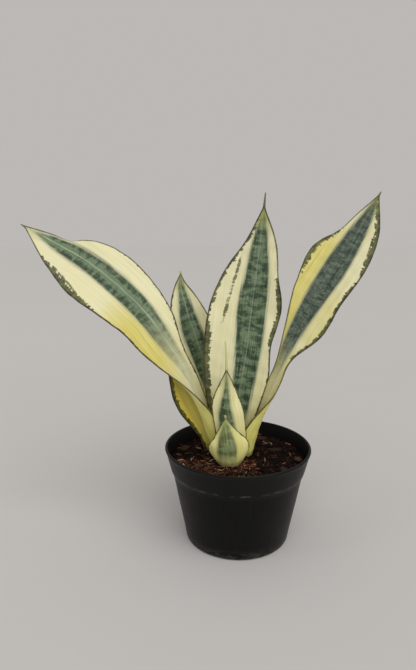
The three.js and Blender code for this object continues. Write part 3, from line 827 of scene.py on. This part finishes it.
def work_surface(bed):
    """Lumps and crumbs all over the top, which sinks a little along the pot's wall."""
    edge_radius, edge_height = MIX_WALL[-1]
    points = points_of(bed)
    for i in np.nonzero(points[:, 2] > (edge_height - 0.4) * MM)[0]:
        x, y = points[i, :2] / MM
        r = math.hypot(x, y)
        inward = min(1, max(0, (edge_radius - r) / 5))
        lump = noise.fractal(Vector((x, y, 7)) * 0.16, 0.9, 2.1, 4)
        crumb = noise.fractal(Vector((x, y, 3)) * 0.55, 0.8, 2.0, 3)
        sunk = 1.5 * math.exp(-((r - 57) / 5) ** 2)
        z = mix_height(x, y) + (1.5 * lump + 0.9 * crumb) * (0.35 + 0.65 * inward) - sunk
        points[i, 2] = min(z, MIX_CREST) * MM
    move_points(bed, points)


def mix_height(x, y):
    """The broad swell of the top, which stands highest in the middle."""
    r = math.hypot(x, y) / RIM_RADIUS
    return MIX_TOP + 1.6 * (0.5 * math.sin(0.21 * x + 1.1) * math.cos(0.17 * y + 0.4)
                            + 0.35 * math.sin(0.43 * x - 0.31 * y + 2)
                            + 0.3 * math.cos(0.12 * x + 0.47 * y + 0.7)
                            + 0.8 * (1 - r * r) - 0.3)


def mix_finish(name, dark, light, red, scale):
    """Damp coir: near black in the hollows, rusty brown where it dries."""
    f = Finish(name)
    place = f.place()
    clods = f.cloud(place, 0.12 * scale, 4.0, 0.6)
    crumbs = f.cloud(place, scale, 5.0, 0.7, 0.8)
    strands = f.cloud(f.stretched(place, (1.0, 0.22, 1.0)), 2.2 * scale, 3.0, 0.65, 1.5)
    dry = f.ease(clods, 0.4, 0.62)
    colour = f.mix(f.ease(crumbs, 0.35, 0.68), dark, light)
    colour = f.mix(dry * f.ease(strands, 0.45, 0.62) * 0.8, colour, red)
    roughness = 0.95 - 0.25 * f.ease(crumbs, 0.6, 0.75)
    normal = f.bump(crumbs + 0.6 * strands, 0.9, 0.0016)
    return f.surface(colour, roughness, normal, Specular_IOR_Level=0.08)


def rhizome_finish():
    """Pale fleshy stem, blotched brown."""
    f = Finish("pale_rhizome")
    flesh = f.cloud(f.place(), 260, 4.0, 0.6)
    colour = f.mix(flesh, shade(196, 160, 96), shade(150, 104, 58))
    return f.surface(colour, 0.6 + 0.2 * flesh, f.bump(flesh, 0.5, 0.0006))


# ---------------------------------------------------------------- loose bits on the mix
# How many times wider a strand gets at each step along it.
STRAND_STEPS = (1.35, 1.0, 1.0, 1.0, 1.0, 0.55)


def strand_pattern(chance, length, thick):
    """One curved coir strand, five-sided, thinning towards its ends."""
    put_down_everything()
    bpy.ops.mesh.primitive_circle_add(vertices=5, radius=thick * MM / 2, fill_type="NGON")
    strand = bpy.context.object
    open_for_shaping()
    for widening in STRAND_STEPS:
        draw_up(length * MM / len(STRAND_STEPS), widening)
    close_shape()
    points = points_of(strand)
    h = points[:, 2] / (length * MM) - 0.5
    bow, twist = chance.uniform(0.1, 0.34), chance.uniform(-0.12, 0.12)
    points[:, 0] += length * MM * bow * (h * h - 0.1)
    points[:, 1] += length * MM * twist * np.sin(h * 6)
    points[:, 2] -= 0.5 * length * MM
    lying = np.stack([points[:, 2], points[:, 1], -points[:, 0]], 1)
    move_points(strand, lying)
    return strand


def crumb_pattern(chance, size):
    """One rough little clod."""
    put_down_everything()
    bpy.ops.mesh.primitive_ico_sphere_add(subdivisions=2, radius=size * MM / 2)
    crumb = bpy.context.object
    open_for_shaping()
    bpy.ops.mesh.decimate(ratio=0.55)
    bpy.ops.transform.resize(value=(1.0, chance.uniform(0.55, 0.9), chance.uniform(0.4, 0.7)))
    bpy.ops.object.mode_set(mode="OBJECT")
    points = points_of(crumb)
    points *= 1 + np.array([[chance.uniform(-0.22, 0.22)] for _ in points])
    move_points(crumb, points)
    return crumb


def scatter(name, patterns, places):
    """Copies of the patterns at places (x, y, z, lean, turn, size), joined as one piece."""
    shapes = [(points_of(p), [tuple(f.vertices) for f in p.data.polygons]) for p in patterns]
    corners, faces, tints = [], [], []
    start = 0
    for i, (x, y, z, lean, turn, size) in enumerate(places):
        shape, outline = shapes[i % len(shapes)]
        spin = (Matrix.Rotation(turn, 3, "Z") @ Matrix.Rotation(lean, 3, "Y")
                @ Matrix.Rotation(turn * 3.7, 3, "X"))
        spot = shape @ np.array(spin).T * size + np.array((x, y, z))
        corners.append(spot)
        faces += [tuple(k + start for k in face) for face in outline]
        tints.append(np.full(len(spot), (i * 0.618034) % 1))
        start += len(spot)
    mesh = bpy.data.meshes.new(name)
    mesh.from_pydata(np.vstack(corners).tolist(), [], faces)
    piece = bpy.data.objects.new(name, mesh)
    bpy.context.scene.collection.objects.link(piece)
    note(piece, "tint", np.concatenate(tints))
    for pattern in patterns:
        bpy.data.objects.remove(pattern)
    smooth(piece, 50)
    return piece


def scraps_finish(name, stops, scale):
    """Dry plant scraps, each a little different in colour."""
    f = Finish(name)
    place = f.place()
    tint = f.noted("tint")
    grain = f.cloud(f.stretched(place, (1.0, 0.4, 1.0)), scale, 3.0, 0.6)
    choice = tint + 0.3 * (grain - 0.5)
    ramp = f.node("ShaderNodeValToRGB", {"stops": stops}, {"Fac": choice}, "Color")
    colour = f.mix(f.ease(grain, 0.3, 0.7) * 0.4, ramp, shade(30, 18, 12))
    normal = f.bump(grain, 0.6, 0.0004)
    return f.surface(colour, 0.72 + 0.2 * grain, normal, Specular_IOR_Level=0.15)


def husk_pattern():
    """A torn flake of coconut husk, one unit long and wide, frayed round its edge."""
    put_down_everything()
    bpy.ops.mesh.primitive_circle_add(vertices=22, radius=0.5, fill_type="NGON",
                                      location=(0, 0, -0.5))
    flake = bpy.context.object
    settle(flake)
    open_for_shaping()
    for rise, widening in ((0.25, 1.12), (0.35, 1.0), (0.3, 0.86), (0.1, 0.6), (0.0, 0.5)):
        draw_up(rise, widening)
    bpy.ops.mesh.poke()
    close_shape()
    points = points_of(flake)
    angle = np.arctan2(points[:, 1], points[:, 0])
    fray = (1 + 0.13 * np.sin(5 * angle + 1) + 0.08 * np.sin(9 * angle)
            + 0.06 * np.sin(13 * angle + 2))
    points[:, :2] *= fray[:, None]
    points[:, 2] += 0.35 * points[:, 0] ** 2 + 0.12 * np.sin(9 * points[:, 1])
    move_points(flake, points)
    return flake


# Husk flakes: (length, width, turn) in millimetres and radians, in the nodes' order.
FLAKE_THICKNESS = 2.0
FLAKES = [(9, 5, 0.3), (12, 5, 2.2), (8, 5, 0.9), (10, 5, -0.4), (8, 6, 1.4), (8, 5, 1.9),
          (11, 6, 0.2), (12, 6, 2.7), (10, 6, 0.5), (9, 6, 1.2)]


def lay_flakes():
    """One torn flake in the place of each husk chip of the frame."""
    pattern = husk_pattern()
    shape = points_of(pattern)
    flakes = []
    for i, (length, width, turn) in enumerate(FLAKES):
        node = f"husk_chip_{i + 1:02d}"
        low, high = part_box(node)
        flake = pattern.copy()
        flake.data = pattern.data.copy()
        flake.name = f"husk_flake_{i + 1:02d}"
        bpy.context.scene.collection.objects.link(flake)
        sized = shape * np.array((length, width, FLAKE_THICKNESS)) * MM
        spun = sized @ np.array(Matrix.Rotation(turn, 3, "Z")).T
        spun += np.array((low + high) / 2) - (spun.min(0) + spun.max(0)) / 2
        move_points(flake, spun)
        note(flake, "tint", np.full(len(spun), (i * 0.37 + 0.1) % 1))
        smooth(flake, 50)
        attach(flake, "root")
        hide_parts(node)
        flakes.append(flake)
    bpy.data.objects.remove(pattern)
    return flakes


def tree_of(pieces):
    """One search tree over several pieces."""
    corners, faces = [], []
    for piece in pieces:
        start = len(corners)
        corners += [v.co.copy() for v in piece.data.vertices]
        faces += [tuple(k + start for k in f.vertices) for f in piece.data.polygons]
    return BVHTree.FromPolygons(corners, faces)


def ground(bed_tree, x, y):
    """Height of the mix under x, y, looked for from above the rim."""
    hit = bed_tree.ray_cast(Vector((x, y, 0.2)), Vector((0, 0, -1)))[0]
    return hit.z if hit else None


def strew(bed, leaves):
    """Loose coir strands and crumbs lying on the mix, clear of the leaves and the wall.

    Sizes are in millimetres: a strand's length and thickness, a crumb's diameter.
    """
    chance = random.Random(11)
    bed_tree, leaf_tree = tree_of([bed]), tree_of(leaves)

    def spots(count, limit, clearance, lift, lean, sizes, thick_at=None):
        """Places within limit of the middle, at least clearance from any leaf's surface."""
        found = []
        while len(found) < count:
            turn, r = chance.uniform(0, 2 * math.pi), limit * math.sqrt(chance.random())
            x, y = r * math.cos(turn) * MM, r * math.sin(turn) * MM
            if thick_at and chance.random() > thick_at(x, y):
                continue
            z = ground(bed_tree, x, y)
            if z is None:
                continue
            near = leaf_tree.find_nearest(Vector((x, y, z + 1 * MM)))[3]
            if near < clearance * MM:
                continue
            size = chance.uniform(*sizes)
            found.append((x, y, z + lift * MM * size, chance.uniform(-lean, lean),
                          chance.uniform(0, 2 * math.pi), size))
        return found

    def front_left(x, y):
        """Strands lie thickest at the front left."""
        return 1.0 if x < 15 * MM and y < -12 * MM else 0.12

    strands = [strand_pattern(chance, 9, 0.5), strand_pattern(chance, 6, 0.7),
               strand_pattern(chance, 12, 0.42), strand_pattern(chance, 5, 0.8)]
    places = spots(640, limit=55, clearance=2.6, lift=0.35, lean=0.35, sizes=(0.6, 1.15),
                   thick_at=front_left)
    coir = scatter("coir_strands", strands, places)
    crumbs = [crumb_pattern(chance, 2.2), crumb_pattern(chance, 1.5), crumb_pattern(chance, 3)]
    places = spots(620, limit=56, clearance=2.0, lift=0.3, lean=3, sizes=(0.45, 1.2))
    places += spots(120, limit=34, clearance=0.5, lift=0.5, lean=3, sizes=(0.35, 0.6))
    clods = scatter("coir_crumbs", crumbs, places)
    return coir, clods


# ---------------------------------------------------------------- the studio
def lay_floor():
    """A round floor 12 m across, with an inner ring of corners 0.8 m from the middle."""
    put_down_everything()
    bpy.ops.mesh.primitive_circle_add(vertices=96, radius=6, fill_type="NGON")
    floor = bpy.context.object
    floor.name = "floor"
    open_for_shaping()
    bpy.ops.mesh.inset(thickness=5.2)
    bpy.ops.object.mode_set(mode="OBJECT")
    f = Finish("pale_floor")
    cloudy = f.cloud(f.place(), 3.0, 4.0, 0.6)
    colour = f.mix(cloudy, shade(195, 194, 193), shade(199, 198, 197))
    coat_with(floor, f.surface(colour, 0.75, f.bump(cloudy, 0.05, 0.002),
                               Specular_IOR_Level=0.25))


def light():
    """A warm pale room, one broad sun from the front right and a cool window at the left."""
    world = bpy.data.worlds.new("studio_light")
    bpy.context.scene.world = world
    world.use_nodes = True
    sky = world.node_tree.nodes["Background"].inputs
    sky["Color"].default_value = (1, 0.965, 0.93, 1)
    sky["Strength"].default_value = 0.5

    def lamp(name, kind, energy, place, aim, **settings):
        data = bpy.data.lights.new(name, kind)
        data.energy = energy
        for key, value in settings.items():
            setattr(data, key, value)
        lit = bpy.data.objects.new(name, data)
        lit.location = place
        lit.rotation_euler = (Vector(aim) - Vector(place)).to_track_quat("-Z", "Y").to_euler()
        bpy.context.scene.collection.objects.link(lit)

    lamp("key", "SUN", 1.75, (0.6, -1.35, 1.55), (0, 0, 0.1), angle=math.radians(70),
         color=(1, 0.98, 0.95))
    lamp("window", "AREA", 2, (-1.4, -0.6, 1.2), (0, 0, 0.1), shape="RECTANGLE", size=0.5,
         size_y=1.2, color=(0.97, 0.98, 1))


def camera():
    """A camera near the height of the leaf tips, looking slightly down."""
    data = bpy.data.cameras.new("camera")
    data.lens = 29.44
    data.sensor_width = 36
    seen = bpy.data.objects.new("camera", data)
    seen.location = (-0.0256, -0.463, 0.2832)
    seen.rotation_euler = (math.radians(90 - 11.78), 0, math.radians(0.14))
    bpy.context.scene.collection.objects.link(seen)
    bpy.context.scene.camera = seen


# ---------------------------------------------------------------- putting it together
waxy = leaf_finish()
leaves = []
for order, leaf_name in enumerate(LEAVES):
    blade = grow_leaf(leaf_name, order + 1)
    coat_with(blade, waxy)
    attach(blade, "root")
    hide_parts(leaf_name)
    leaves.append(blade)

shell = mould_pot()
coat_with(shell, pot_finish())
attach(shell, "root")
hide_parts("pot")

bed = fill_mix()
coat_with(bed, mix_finish("damp_coir", shade(5, 3, 3), shade(20, 13, 10), shade(48, 29, 20),
                          900))
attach(bed, "root")
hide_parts("potting_mix")

coir, clods = strew(bed, leaves)
coat_with(coir, scraps_finish("dry_coir_strand", [
    (0.0, shade(26, 14, 9)), (0.45, shade(64, 35, 22)), (0.78, shade(112, 66, 42)),
    (0.94, shade(152, 104, 74)), (1.0, shade(200, 184, 150))], 1500))
coat_with(clods, scraps_finish("coir_crumb", [
    (0.0, shade(5, 3, 2)), (0.72, shade(20, 12, 8)), (0.94, shade(52, 31, 20)),
    (1.0, shade(112, 82, 58))], 1200))
for scraps in (coir, clods):
    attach(scraps, "root")

husk = scraps_finish("dry_husk", [
    (0.0, shade(22, 15, 10)), (0.5, shade(42, 29, 20)), (1.0, shade(74, 56, 40))], 900)
for flake in lay_flakes():
    coat_with(flake, husk)

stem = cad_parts["rhizome_and_roots"]
coat_with(stem, rhizome_finish())

bpy.context.scene.view_settings.view_transform = "Standard"
lay_floor()
light()
camera()
